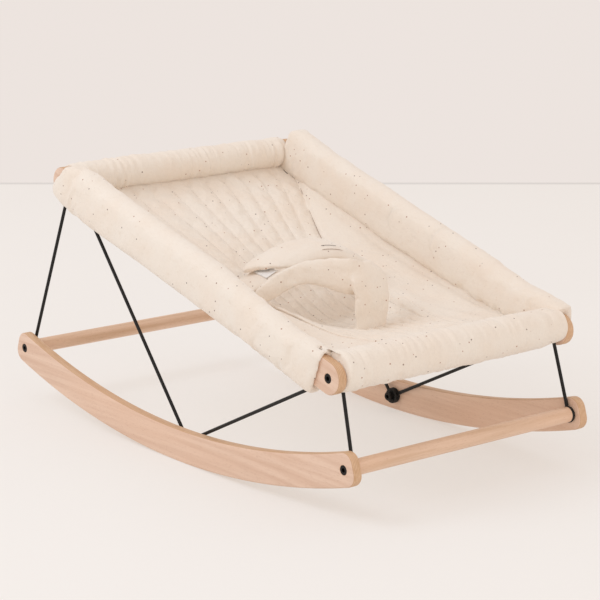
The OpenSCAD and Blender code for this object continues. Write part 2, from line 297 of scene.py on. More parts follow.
class Nodes:
    """A short way to write a material's node tree."""

    def __init__(self, name, roughness, **sockets):
        self.material = bpy.data.materials.new(name)
        self.material.use_nodes = True
        self.tree = self.material.node_tree
        self.shader = self.tree.nodes["Principled BSDF"]
        self.shader.inputs["Roughness"].default_value = roughness
        for key, value in sockets.items():
            self.shader.inputs[key.replace("_", " ")].default_value = value
        self.place = self.add("ShaderNodeTexCoord").outputs["Object"]

    def add(self, kind, inputs=None, **settings):
        node = self.tree.nodes.new(kind)
        for key, value in settings.items():
            setattr(node, key, value)
        for key, value in (inputs or {}).items():
            if isinstance(value, bpy.types.NodeSocket):
                self.tree.links.new(value, node.inputs[key])
            else:
                node.inputs[key].default_value = value
        return node

    def scaled(self, vector, scale):
        return self.add("ShaderNodeMapping", {"Vector": vector, "Scale": scale}).outputs[0]

    def noise(self, vector, scale, detail=3.0, rough=0.55):
        inputs = {"Vector": vector, "Scale": scale, "Detail": detail, "Roughness": rough}
        return self.add("ShaderNodeTexNoise", inputs).outputs["Fac"]

    def wave(self, pitch, direction, distortion=0.0, detail=2.0, detail_scale=1.0):
        """Bands of that pitch. The Wave Texture has 20 radians of its wave to a unit."""
        inputs = {"Vector": self.place, "Scale": 2 * math.pi / (20 * pitch), "Distortion": distortion,
                  "Detail": detail, "Detail Scale": detail_scale}
        return self.add("ShaderNodeTexWave", inputs, bands_direction=direction).outputs["Fac"]

    def ramp(self, value, low, high, first=0.0, last=1.0):
        inputs = {"Value": value, "From Min": low, "From Max": high, "To Min": first, "To Max": last}
        return self.add("ShaderNodeMapRange", inputs, interpolation_type="SMOOTHSTEP").outputs[0]

    def math(self, operation, a, b=0.0):
        return self.add("ShaderNodeMath", {0: a, 1: b}, operation=operation).outputs[0]

    def blend(self, share, a, b):
        """A mix of two colours: the Mix node takes its share at socket 0 and its colours at 6 and 7."""
        first, second = (c if isinstance(c, bpy.types.NodeSocket) else (*c, 1) for c in (a, b))
        return self.add("ShaderNodeMix", {0: share, 6: first, 7: second}, data_type="RGBA").outputs[2]

    def bump(self, height, distance, under=None, strength=1.0):
        inputs = {"Height": height, "Distance": distance, "Strength": strength}
        if under is not None:
            inputs["Normal"] = under
        return self.add("ShaderNodeBump", inputs).outputs[0]

    def finish(self, colour, normal=None, roughness=None):
        for socket, value in (("Base Color", colour), ("Normal", normal), ("Roughness", roughness)):
            if value is not None:
                self.tree.links.new(value, self.shader.inputs[socket])
        return self.material


CREAM = (0.85, 0.772, 0.68)
CREAM_WARM = (0.84, 0.74, 0.635)
SLUB = (0.74, 0.62, 0.5)
DOT_DARK = (0.13, 0.075, 0.055)
DOT_BROWN = (0.36, 0.15, 0.075)
DOT_CELL = 13 * MM  # size of the cells that hold one dot each
DOT_R = 1.25 * MM
THREAD_PITCH = 0.9 * MM
TWIST_PITCH = 0.5 * MM  # of a sewing thread
BEECH = (0.78, 0.565, 0.43)
BEECH_DARK = (0.67, 0.45, 0.325)
BEECH_FLECK = (0.42, 0.2, 0.11)
PLY_EDGE = (0.74, 0.5, 0.31)
PLY_EDGE_DARK = (0.62, 0.38, 0.21)
PLY_GLUE = (0.45, 0.25, 0.13)
PLY_PITCH = 2.5 * MM  # one pale and one dark ply


def cotton(name, crinkle):
    """Cream cotton muslin: a fine weave, soft crinkles, cloudy colour and sparse printed dots."""
    n = Nodes(name, 0.9, Sheen_Weight=0.25, Sheen_Roughness=0.5, Specular_IOR_Level=0.25)
    colour = n.blend(n.ramp(n.noise(n.place, 16.0), 0.35, 0.7), CREAM, CREAM_WARM)
    threads = [n.wave(THREAD_PITCH, axis, 1.5, 1.0, 0.6) for axis in "XYZ"]
    weave = n.math("ADD", n.math("ADD", threads[0], threads[1]), threads[2])
    slub = n.noise(n.scaled(n.place, (900, 140, 140)), 1.0, 2.0)
    colour = n.blend(n.ramp(slub, 0.55, 0.8, 0, 0.35), colour, SLUB)
    cells = n.add("ShaderNodeTexVoronoi", {"Vector": n.place, "Scale": 1 / DOT_CELL})
    edge = DOT_R / DOT_CELL
    mask = n.ramp(cells.outputs["Distance"], edge * 0.7, edge * 1.1, 0.85, 0)
    hue = n.add("ShaderNodeSeparateColor", {0: cells.outputs["Color"]}).outputs[0]
    colour = n.blend(mask, colour, n.blend(n.ramp(hue, 0.3, 0.6), DOT_DARK, DOT_BROWN))
    bump = n.bump(weave, 0.12 * MM, strength=0.35)
    bump = n.bump(n.noise(n.place, 260.0, 4.0), 0.5 * MM * crinkle, bump)
    bump = n.bump(n.noise(n.place, 70.0, 3.0), 1.6 * MM * crinkle, bump)
    return n.finish(colour, bump)


def veneer_grain(n, vector, pale, dark):
    """Straight beech grain with short flecks, for coordinates whose first axis runs along the grain."""
    streaks = n.noise(n.scaled(vector, (5, 120, 120)), 1.0, 5.0, 0.6)
    clouds = n.noise(n.scaled(vector, (4, 14, 14)), 1.0, 2.0)
    flecks = n.noise(n.scaled(vector, (170, 1500, 1500)), 1.0, 1.0)
    rosy = (pale[0] * 1.02, pale[1] * 0.94, pale[2] * 0.88)
    colour = n.blend(n.ramp(streaks, 0.3, 0.72), pale, dark)
    colour = n.blend(n.ramp(clouds, 0.35, 0.7, 0, 0.4), colour, rosy)
    return n.blend(n.ramp(flecks, 0.62, 0.74, 0, 0.38), colour, BEECH_FLECK), streaks


def plywood(name, slope):
    """Beech plywood: a veneer face with grain along the board, and edges that show the plies."""
    n = Nodes(name, 0.5, Coat_Weight=0.12, Coat_Roughness=0.35)
    turned = n.add("ShaderNodeMapping", {"Vector": n.place, "Rotation": (-slope, 0, 0)}).outputs[0]
    axes = n.add("ShaderNodeSeparateXYZ", {0: turned}).outputs
    lengthwise = n.add("ShaderNodeCombineXYZ", {0: axes[1], 1: axes[0], 2: axes[2]}).outputs[0]
    face, streaks = veneer_grain(n, lengthwise, BEECH, BEECH_DARK)
    plies = n.wave(PLY_PITCH, "X", 0.25, 2.0, 0.4)
    edge, _ = veneer_grain(n, lengthwise, PLY_EDGE, PLY_EDGE_DARK)
    edge = n.blend(n.ramp(plies, 0.25, 0.75, 0, 0.55), edge, PLY_GLUE)
    normal = n.add("ShaderNodeTexCoord").outputs["Normal"]
    sideways = n.math("ABSOLUTE", n.add("ShaderNodeSeparateXYZ", {0: normal}).outputs[0])
    colour = n.blend(n.ramp(sideways, 0.55, 0.85), edge, face)
    return n.finish(colour, n.bump(streaks, 0.12 * MM), n.ramp(streaks, 0.2, 0.8, 0.42, 0.58))


def beech(name):
    n = Nodes(name, 0.5, Coat_Weight=0.1, Coat_Roughness=0.4)
    colour, streaks = veneer_grain(n, n.place, (0.78, 0.55, 0.4), (0.65, 0.43, 0.28))
    return n.finish(colour, n.bump(streaks, 0.12 * MM), n.ramp(streaks, 0.2, 0.8, 0.42, 0.6))


def metal(name, colour, worn, roughness, metallic, grain):
    """Coated or plated metal with a fine skin and slightly worn spots."""
    n = Nodes(name, roughness, Metallic=metallic, Specular_IOR_Level=0.3)
    skin = n.noise(n.place, grain, 3.0)
    spots = n.ramp(n.noise(n.place, grain / 12, 4.0), 0.55, 0.75)
    shade = n.blend(spots, colour, worn)
    return n.finish(shade, n.bump(skin, 0.05 * MM), n.ramp(skin, 0.3, 0.7, roughness - 0.07, roughness + 0.1))


def touch_tape(name):
    """White hook and loop tape: a dense nap of tiny loops."""
    n = Nodes(name, 0.95, Sheen_Weight=0.4, Sheen_Roughness=0.4)
    loops = n.add("ShaderNodeTexVoronoi", {"Vector": n.place, "Scale": 900.0}).outputs["Distance"]
    colour = n.blend(n.ramp(loops, 0.1, 0.8), (0.95, 0.93, 0.9), (0.84, 0.81, 0.78))
    return n.finish(colour, n.bump(loops, 0.5 * MM))


def thread(name, colour):
    n = Nodes(name, 0.7, Sheen_Weight=0.3)
    twist = n.wave(TWIST_PITCH, "DIAGONAL")
    darker = tuple(c * 0.7 for c in colour)
    return n.finish(n.blend(twist, colour, darker), n.bump(twist, 0.1 * MM))


COTTON = cotton("printed_cotton", 1.0)
QUILT = cotton("quilted_cotton", 1.25)
ROCKER_PLY = plywood("rocker_plywood", 0.0)
RAIL_PLY = plywood("rail_plywood", math.atan2(ALONG.z, ALONG.y))
DOWEL_WOOD = beech("beech_dowel")
BLACK_STEEL = metal("black_steel", (0.007, 0.006, 0.005), (0.016, 0.013, 0.011), 0.5, 0.0, 2500.0)
BLACK_BOLT = metal("black_bolt", (0.02, 0.018, 0.017), (0.06, 0.052, 0.045), 0.34, 0.7, 3000.0)
BRASS = metal("insert_brass", (0.62, 0.43, 0.16), (0.5, 0.33, 0.12), 0.35, 1.0, 2000.0)
TAPE = touch_tape("white_touch_tape")
CREAM_THREAD = thread("cream_thread", (0.72, 0.62, 0.5))
# Brown thread for the belt's stitches. It is also laid along the seat panel's edge seams as a painted shadow
# line.
BROWN_THREAD_AND_SEAM_SHADOW = thread("brown_thread_and_seam_shadow", (0.5, 0.34, 0.23))
GREY_THREAD = thread("grey_thread", (0.2, 0.15, 0.13))

CAD_FINISHES = {
    DOWEL_WOOD: ("rear_cross_dowel", "front_cross_dowel", "head_bar", "foot_bar"),
    BLACK_BOLT: ("rocker_bolts", "rail_bolts", "middle_bolts", "middle_washers"),
    BRASS: ("lower_dowel_inserts", "upper_bar_inserts", "middle_inserts"),
    BLACK_STEEL: [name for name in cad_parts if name.endswith("_rod")],
}


def paint(piece, material):
    piece.data.materials.clear()
    piece.data.materials.append(material)
    return piece


def finish_cad_nodes():
    for material, names in CAD_FINISHES.items():
        for name in names:
            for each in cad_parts[name].material_slots:
                each.material = material


# ---------- plywood boards ----------

EDGE_ROUND = 2.4 * MM
RECESS_R = 6.8 * MM  # the round recess of a bolt head
RECESS_DEPTH = 5.5 * MM
RECESS_FLARE = 1.6 * MM  # its rim widens this much, from CHAMFER below the face
CHAMFER = 0.6 * MM
SHANK_R = 3.05 * MM
SIDE_STEPS = 90  # points along a rocker's long sides
CORNER_STEP = 10  # degrees between the points of a round corner
RAIL_STEPS = 24  # steps round the half circle at a rail's end
HOLE_POINTS = 40
TIP_CORNER = 17 * MM  # corner radius of a rocker's blunt end
TIP_REACH = 19.5 * MM  # from a rocker's end bolt to its tip


def circle_through(a, b, c):
    """Centre and radius of the circle through three points, in the Y-Z plane."""
    rows = np.array([[2 * (q.y - a.y), 2 * (q.z - a.z)] for q in (b, c)])
    rest = np.array([q.y ** 2 - a.y ** 2 + q.z ** 2 - a.z ** 2 for q in (b, c)])
    y, z = np.linalg.solve(rows, rest)
    return y, z, math.hypot(a.y - y, a.z - z)


def rocker_outline():
    """The rocker's arc with two blunt ends, whose corners are rounded, as points (y, z)."""
    y0, z0, mid_r = circle_through(LOW_FRONT, LOW_MIDDLE, LOW_REAR)
    half = z0 - mid_r

    def arc_point(reach, out):
        """The point at that reach along the middle line, and that far out from it."""
        a = reach / mid_r
        return y0 + (mid_r + out) * math.sin(a), z0 - (mid_r + out) * math.cos(a)

    ends = [math.atan2(p.y - y0, z0 - p.z) * mid_r for p in (LOW_FRONT, LOW_REAR)]
    first, last = ends[0] - TIP_REACH + TIP_CORNER, ends[1] + TIP_REACH - TIP_CORNER
    inner = half - TIP_CORNER

    def corner(reach, out, start):
        """A quarter round about a point of the board, from the angle start to 90 degrees less."""
        angles = [math.radians(start - turn) for turn in range(0, 91, CORNER_STEP)]
        return [arc_point(reach + TIP_CORNER * math.cos(a), out + TIP_CORNER * math.sin(a)) for a in angles]

    def long_side(start, end, out):
        return [arc_point(reach, out) for reach in spread(start, end, SIDE_STEPS)[1:-1]]

    return (corner(first, -inner, 270) + corner(first, inner, 180) + long_side(first, last, half)
            + corner(last, inner, 90) + corner(last, -inner, 0) + long_side(last, first, -half))


def rail_outline():
    """The side rail, a bar with half-round ends, as points (y, z)."""
    points = []
    for s, start in ((0.0, 90), (RAIL_LEN, -90)):
        for k in range(RAIL_STEPS + 1):
            a = math.radians(start + k * 180 / RAIL_STEPS)
            p = on_rail(s + RAIL_R * math.cos(a), RAIL_R * math.sin(a), 0)
            points.append((p.y, p.z))
    return points


def ring_at(x, centre, radius):
    return [(x, centre.y + radius * math.cos(a), centre.z + radius * math.sin(a))
            for a in round_angles(HOLE_POINTS)]


def board(name, side, outline, bolts, material):
    """A plywood board with eased edges and a recess with a shank hole at each bolt."""
    n = len(outline)
    xs = (side * INNER_X, side * OUTER_X)
    points = [(x, y, z) for x in xs for y, z in outline]
    faces = [tuple(range(n)), tuple(range(2 * n - 1, n - 1, -1))]
    faces += [(j, j + n, (j + 1) % n + n, (j + 1) % n) for j in range(n)]
    piece = repair_normals(new_object(name, points, faces))
    modify(piece, "BEVEL", width=EDGE_ROUND, segments=4, limit_method="ANGLE",
           angle_limit=math.radians(50))
    floor_x = OUTER_X - RECESS_DEPTH
    profile = [(OUTER_X + MM, RECESS_R + RECESS_FLARE), (OUTER_X - CHAMFER, RECESS_R), (floor_x, RECESS_R),
               (floor_x, SHANK_R), (INNER_X - MM, SHANK_R)]
    for centre in bolts:
        cutter = loft("cutter", [ring_at(side * x, centre, r) for x, r in profile])
        modify(piece, "BOOLEAN", operation="DIFFERENCE", solver="EXACT", object=cutter)
        bpy.data.objects.remove(cutter)
    piece.data.shade_smooth()
    piece.data.set_sharp_from_angle(angle=math.radians(32))
    paint(piece, material)
    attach(piece, "frame")
    return piece


def make_boards():
    for side, word in SIDE_NAMES.items():
        rocker = board(f"{word}_rocker_board", side, rocker_outline(), (LOW_FRONT, LOW_REAR), ROCKER_PLY)
        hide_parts(f"{word}_rocker")
        rail = board(f"{word}_rail_board", side, rail_outline(), (FOOT, HEAD), RAIL_PLY)
        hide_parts(f"{word}_side_rail")


# ---------- stitches ----------


def stitches(name, rows, outward, sizes, material, parent):
    """Short thread stitches along rows of points. sizes gives their pitch, length and radius."""
    pitch, length, radius = sizes
    verts, faces = [], []
    for row in rows:
        travelled, goal = 0.0, pitch / 2
        for a, b in zip(row, row[1:]):
            span = (b - a).length
            while goal <= travelled + span and span > 0:
                here = a.lerp(b, (goal - travelled) / span)
                way = (b - a) / span
                wide = way.cross(outward).normalized()
                first = len(verts)
                verts += [here - way * length / 2, here + way * length / 2]
                for share in (-0.3, 0.3):
                    for u, v in ((1, 0), (0, 1), (-1, 0), (0, -0.4)):
                        verts.append(here + way * length * share + wide * radius * u + outward * radius * v)
                for k in range(4):
                    a0, a1 = first + 2 + k, first + 2 + (k + 1) % 4
                    faces += [(first, a1, a0), (a0, a1, a1 + 4, a0 + 4), (a0 + 4, a1 + 4, first + 1)]
                goal += pitch
            travelled += span
    piece = paint(new_object(name, verts, faces), material)
    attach(piece, parent)


# ---------- padded sleeves ----------

RING = 56  # points round a sleeve
SLEEVE_HALF = 19 * MM
SECTION_POWER = 2.5  # 2 is an ellipse, more is squarer
POCKET_HALF = 6.5 * MM  # the opening at a sleeve's ends, which the rail fills
POCKET_DEPTH = 24 * MM
POCKET_RISE = 26 * MM
LIP = 2.5 * MM  # how far a sleeve's end bulges past its hem
# The lip's rings from the pocket to the outer skin, as (share of the way inward, share of LIP past the hem)
LIP_RINGS = [(1, -1), (0.8, -0.7), (0.45, -0.2), (0.28, 0.45), (0.12, 0.85), (0.03, 1.0)]
HEM_POWER = 5.0  # a sleeve's section at its hems, where it lies flat on the rail
CUFF_LEN = 38 * MM
HELD_LEN = 12 * MM  # the cloth is held still this far from a hem, and is free after EASE_LEN more
EASE_LEN = 45 * MM
VOXEL = 5 * MM
BAR_ROUND = 2 * MM  # rounding of the ends of a bar's sleeve
BAR_HOLE = 12 * MM


def section(half, low, high, power=SECTION_POWER):
    """Points (x, t) of a rounded section."""
    return [(half * signed_power(math.cos(a), 2 / power),
             mix(low, high, 0.5 + 0.5 * signed_power(math.sin(a), 2 / power))) for a in round_angles(RING)]


def rail_cover(side, front_hem, rear_hem, cuffs, tops, lows, seed, puckers=()):
    """The padded sleeve of one side rail. front_hem and rear_hem give a hem's place along the rail by height,
    cuffs the width at the hems as a share of the full width, and tops and lows the section's highest and
    lowest points along it. A pucker is a bent fold, (s at the rail's axis, bow, lowest t, highest t)."""
    pocket = section(POCKET_HALF, -POCKET_RISE, POCKET_RISE)
    front_mid, rear_mid = front_hem(0), rear_hem(0)

    def ring(s0, hem, share, inward, past):
        """share pulls the ring at s0 to a hem's slant, inward takes it from the outer skin to the pocket, and
        past moves it along the rail."""
        near, cuff = min((s0 - front_mid, cuffs[0]), (rear_mid - s0, cuffs[1]))
        full = smooth_step(near / CUFF_LEN) ** 0.6
        outer = section(SLEEVE_HALF * mix(cuff, 1, full), between(s0, lows), between(s0, tops),
                        mix(HEM_POWER, SECTION_POWER, full))
        out = []
        for (x, t), (px, pt) in zip(outer, pocket):
            lean = (hem(t) - hem(0)) * share
            across = side * (MID_X + mix(x, px, inward))
            out.append(on_rail(s0 + lean + past, mix(t, pt, inward), across))
        return out

    rings = [ring(front_mid, front_hem, 1, 1, POCKET_DEPTH)]
    rings += [ring(front_mid, front_hem, 1, inward, -LIP * past) for inward, past in LIP_RINGS]
    for u in spread(0, 1, 90):
        hem, share = (front_hem, (1 - 2 * u) ** 3) if u < 0.5 else (rear_hem, (2 * u - 1) ** 3)
        rings.append(ring(mix(front_mid, rear_mid, u), hem, share, 0, 0))
    rings += [ring(rear_mid, rear_hem, 1, inward, LIP * past) for inward, past in LIP_RINGS[::-1]]
    rings.append(ring(rear_mid, rear_hem, 1, 1, -POCKET_DEPTH))
    word = SIDE_NAMES[side]
    piece = loft(f"{word}_sleeve_cover", rings)
    remesh(piece, VOXEL, 2)

    def pinned(p):
        s = (Vector(p) - FOOT).dot(ALONG)
        near = min(s - front_mid, rear_mid - s)
        return 1 - smooth_step((near - HELD_LEN) / EASE_LEN)

    puff(piece, 3.0, 3.5 * MM, pinned, slack=0.03)

    def crease(p):
        """Soft slanting wrinkles, stronger towards the ends, with a fine ripple over them."""
        s, t = (p - FOOT).dot(ALONG), (p - FOOT).dot(UP)
        ends = 1 + 1.6 * math.exp(-min(s, RAIL_LEN - s) / 0.07)
        big = uneven(s * 16 + t * 9 + seed, t * 14, p.x * 12)
        ripple = uneven(s * 60 + t * 22, t * 20 + seed, p.x * 20)
        height = (1.2 * big + 0.5 * ripple * ends) * MM
        for at, bow, lowest, highest in puckers:
            if (p.x - side * MID_X) * side < 0:
                share = (t - lowest) / (highest - lowest)
                off = s - at - bow * (2 * share - 1) ** 2
                shape = bell(off + 3.5 * MM, 3 * MM) - 1.3 * bell(off, 2.2 * MM)
                height += 1.5 * MM * shape * eased(share, 4)
        return height

    push(piece, crease)
    paint(piece, COTTON)
    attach(piece, "frame")
    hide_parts(f"{word}_rail_sleeve", f"{word}_rail_wadding")


def gathers(x, around, seed, pitch, depth):
    """Height of the gathers round a bar's sleeve: ridges across it, uneven along X."""
    bent = x + 4 * MM * uneven(x * 20, math.cos(around), math.sin(around) + seed)
    wave = uneven(bent / pitch, seed, 0.35 * math.sin(around))
    fine = uneven(bent / pitch * 2.1, seed + 7, 0.5 * math.cos(around))
    envelope = 0.45 + 1.1 * abs(uneven(x * 14, seed + 3, 0))
    return depth * envelope * (1.5 * wave + 0.8 * fine)


def bar_cover(name, centre, radius, half_len, tapers, seed, pitch, depth, folds, cad_nodes):
    """The gathered sleeve of the head or foot bar. tapers gives its left and right ends as (radius there,
    length of the taper to the full radius), and each fold is (x, turn round the bar, width, lift)."""
    steps, close = 220, 4  # rings along the bar, and from the skin in to the bar at each end
    (left_r, left_taper), (right_r, right_taper) = tapers
    rings = []
    for k in range(-close, steps + close + 1):
        x = mix(-half_len, half_len, min(max(k / steps, 0.0), 1.0))
        beyond = max(-k, k - steps, 0) / close
        full = mix(left_r, radius, smooth_step((x + half_len) / left_taper))
        full += mix(right_r, radius, smooth_step((half_len - x) / right_taper)) - radius
        full -= BAR_ROUND * (1 - smooth_step((half_len - abs(x)) / BAR_ROUND / 1.5))
        ring = []
        for a in round_angles(RING):
            r = full + gathers(x, a, seed, pitch, depth)
            for fold_x, turn, width, lift in folds:
                swing = math.cos(a - turn) * 0.5 + 0.5
                r += lift * swing ** 2 * bell(x - fold_x, width)
            r = mix(r, BAR_HOLE, beyond)
            out_x = x + math.copysign(0.6 * MM * beyond, k)
            ring.append((out_x, centre.y + r * math.cos(a), centre.z + r * math.sin(a)))
        rings.append(ring)
    piece = loft(name, rings)
    subdivide(piece)
    push(piece, lambda p: 0.9 * MM * noise.noise(p * 22 + Vector((seed, 0, 0))))
    paint(piece, COTTON)
    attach(piece, "frame")
    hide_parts(*cad_nodes)


# ---------- hammock seat ----------

HEAD_Y = 252 * MM
HEAD_END_Y = 264 * MM  # the seat's cloth ends here, inside the head bar's sleeve
FOOT_Y = -360 * MM
BACK_RISE = 0.506
FRONT_RISE = 0.147
LOW_POINT = (-75 * MM, 178.5 * MM)  # where the two slopes meet, as (y, z)
BLEND_R = 9 * MM
DISH_DEPTH = 45 * MM
DISH_REACH = 112 * MM
DISH_Y = -80 * MM
HEAD_HALF = 203 * MM  # half the quilted panel's width at the head
QUILT_T = 11 * MM
WING_T = 4 * MM
WING_EDGE_X = MID_X - SLEEVE_HALF - 0.3 * MM
WING_END_X = MID_X - 3 * MM  # the wing's outer edge, inside the sleeve
SEAM_TUCK = 5 * MM  # depth of the valley along the quilted panel's seams
SEAM_VALLEY = 3.2 * MM
SEAM_SHADOW_THREAD_END = -60 * MM  # the brown seam thread, partly a real seam and partly a painted shadow line along the seam's crease, is buried in the cloth beyond this
SLEEVE_TUCK = 2.5 * MM  # depth of the valley where the wing meets the rail's sleeve
SLEEVE_VALLEY = 7 * MM
WING_LIFT = 0.4  # the wing's hidden edge rises inside the sleeve at this slope
SEAM_LAP = 4 * MM  # the wing runs this far under the quilted panel's edge
WING_DROP = [(-330, 12), (-270, 17), (-190, 25), (-80, 29), (10, 30), (80, 22), (210, 3), (252, 0)]
FOOT_PAD = FOOT + Vector((0, -2 * MM, 7 * MM))
FOOT_PAD_R = 28 * MM
HEAD_PAD = HEAD + Vector((0, 0, 3 * MM))
HEAD_PAD_R = 24 * MM
CHANNELS = 12
SEWN_T = 2.2 * MM  # the quilt's thickness at its two ends, where it is sewn flat
SUNK = 0.36  # how far a seam sinks at each side, as a share of the thickness
SEAM_POINTS = 120
UPWARD = Vector((0, -0.4, 1)).normalized()
# Soft folds of a wing, as (from, to, width, lift) in mm: they run from the crotch strap to the front corner
WING_FOLDS = {
    RIGHT: [((70, -120), (165, -285), 9, 3.0), ((62, -170), (150, -300), 8, -2.6),
            ((95, -95), (180, -200), 12, -2.0)],
    LEFT: [((-75, -130), (-160, -290), 10, 2.6), ((-60, -180), (-140, -305), 8, -2.2)],
}


def soft_max(a, b, soft):
    return (a + b) / 2 + math.sqrt(((a - b) / 2) ** 2 + soft * soft)


def seat_line(y):
    """Height of the seat's centre line."""
    dy = y - LOW_POINT[0]
    return soft_max(LOW_POINT[1] + BACK_RISE * dy, LOW_POINT[1] - FRONT_RISE * dy, BLEND_R)


def seat_half(y):
    """Half the quilted panel's width: it narrows fast down the back and slowly along the seat."""
    back = 122 * MM + 0.486 * (y - 60 * MM)
    seat = 78 * MM + 0.12 * (y + 320 * MM)
    return -soft_max(-soft_max(back, seat, 5 * MM), -HEAD_HALF, 3 * MM)


def over_foot_pad(z, y):
    """Runs a surface softly up onto the foot bar's sleeve and lets it sink in near the sleeve's top."""
    reach = FOOT_PAD_R + 0.8 * MM
    dy = y - FOOT_PAD.y
    if dy > reach * 1.6:
        return z
    pad = FOOT_PAD.z + math.sqrt(max(reach ** 2 - dy ** 2, 0)) - 2.2 * max(dy - reach * 0.8, 0)
    return soft_max(z, pad, 4 * MM) - 6 * MM * smooth_step((16 * MM - dy) / (16 * MM))


def seat_top(x, y):
    dish = DISH_DEPTH * bell(y - DISH_Y, DISH_REACH)
    return over_foot_pad(seat_line(y) + dish * (x / seat_half(y)) ** 2, y)


def above_foot_pad(y):
    """From 0 at the edge of the foot bar's sleeve to 1 a little further up the seat."""
    return smooth_step((y - FOOT_PAD.y - 16 * MM) / (30 * MM))


def wing_edge(y):
    drop = between(y, [(a * MM, b * MM) for a, b in WING_DROP])
    return FOOT.z + (y - FOOT.y) * ALONG.z / ALONG.y - drop


def panel_point(u, y, below):
    """u from -1 to 1 across the seat; below is the depth under its top surface."""
    x = u * seat_half(y)
    return Vector((x, y, seat_top(x, y) - below))


def quilted_seat():
    """The quilted panel: two cloths sewn together in channels that run from head to foot and converge."""
    def pair(w, v):
        y = mix(HEAD_END_Y, FOOT_Y, v)
        t = mix(SEWN_T, QUILT_T, above_foot_pad(y) * smooth_step((HEAD_END_Y - y) / (16 * MM)))
        bulge = abs(math.sin(math.pi * w * CHANNELS)) ** 0.75
        sunk = SUNK * t * (1 - bulge)
        return panel_point(2 * w - 1, y, sunk), panel_point(2 * w - 1, y, t - sunk)

    piece = two_cloths("quilted_seat", CHANNELS * 8, 104, pair)

    def pinned(p):
        """Held along every seam and at both ends."""
        share = (p[0] / seat_half(p[1]) + 1) / 2 * CHANNELS
        on_seam = abs(share - round(share)) < 0.02
        at_end = p[1] > HEAD_Y - 4 * MM or p[1] < FOOT_PAD.y + 22 * MM
        return 1.0 if on_seam or at_end else 0.0

    puff(piece, 2.2, 2.4 * MM, pinned, slack=0.03, bending=0.15)
    push(piece, lambda p: 0.5 * MM * (uneven(p.x * 28, p.y * 60, 3) + uneven(p.x * 110, p.y * 45, 9)))
    paint(piece, QUILT)
    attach(piece, "frame")
    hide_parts("seat_panel")


def seat_stitches():
    """Cream stitches along the quilting, and a brown seam thread down the panel's two edges that is partly a
    real seam and partly painted shadow: it draws the dark crease shadow along each seam.
    """
    def row(u, start, end, depth):
        return [panel_point(u, y, depth) for y in spread(start, end, SEAM_POINTS)]

    seams = [row(2 * c / CHANNELS - 1, HEAD_Y, FOOT_PAD.y + 20 * MM, 0.33 * QUILT_T)
             for c in range(1, CHANNELS)]
    stitches("quilting_stitches", seams, UPWARD, (4.2 * MM, 3 * MM, 0.3 * MM), CREAM_THREAD, "frame")
    # Painted shadow: the brown thread in the valley at each edge of the panel stands for the dark shadow line
    # in the seam's crease.
    edges = [row(u, HEAD_END_Y, SEAM_SHADOW_THREAD_END, 0.3 * QUILT_T) for u in (-1, 1)]
    stitches("panel_seam_shadow_thread", edges, UPWARD, (2.4 * MM, 2.6 * MM, 0.42 * MM), BROWN_THREAD_AND_SEAM_SHADOW, "frame")


def fold_height(x, y, side):
    total = 0.0
    for start, end, width, lift in WING_FOLDS[side]:
        a, b = Vector(start) * MM, Vector(end) * MM
        d = b - a
        p = Vector((x, y)) - a
        share = p.dot(d) / d.length_squared
        off = abs(p.x * d.y - p.y * d.x) / d.length
        total += lift * MM * bell(off, width * MM) * eased(share, 2.5)
    return total


def wing_point(side, w, y):
    """w from 0 at the quilted panel's seam to 1 under the rail's sleeve."""
    x0, x1 = seat_half(y) - SEAM_LAP, WING_END_X
    x = mix(x0, x1, w)
    z = mix(seat_top(x0, y), wing_edge(y), w)
    sag = 5 * MM * bell(y + 120 * MM, 160 * MM) + 1.5 * MM
    z -= sag * math.sin(math.pi * w)
    z += fold_height(side * x, y, side) * math.sin(math.pi * min(w * 1.2, 1))
    z += 1.3 * MM * math.sin(math.pi * w) * uneven(x * 18 * side, y * 12, 4)
    if w > 0:
        z = over_foot_pad(z, y)
    z -= SEAM_TUCK * bell(max(x - x0 - SEAM_LAP, 0), SEAM_VALLEY)
    tuck = SLEEVE_TUCK * smooth_step((y - FOOT.y - 60 * MM) / (50 * MM))
    z -= tuck * bell(x - WING_EDGE_X, SLEEVE_VALLEY)
    z += WING_LIFT * max(x - WING_EDGE_X - 3 * MM, 0)
    return Vector((side * x, y, z))


def side_wing(side):
    """The plain side of the seat, between the quilted panel and a rail's sleeve: a thin padded cloth."""
    word = SIDE_NAMES[side]

    def pair(w, v):
        y = mix(HEAD_END_Y, FOOT_Y, v)
        p = wing_point(side, w, y)
        rim = smooth_step(min(w, 1 - w) * 9)
        t = WING_T * (0.35 + 0.65 * rim) * mix(0.45, 1, above_foot_pad(y))
        sunk = 0.9 * MM * (1 - rim)
        return p - Vector((0, 0, sunk)), p - Vector((0, 0, t + sunk))

    piece = two_cloths(f"{word}_seat_wing", 30, 110, pair)
    subdivide(piece)
    paint(piece, COTTON)
    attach(piece, "frame")
    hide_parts(f"{word}_side_wing")


# ---------- harness ----------

# Crotch strap, as (y, z) in mm of its middle line from the seat to its top edge
CROTCH = [(-187, 187), (-188, 203), (-188, 222), (-186, 243), (-182, 262), (-176, 276), (-169, 286)]
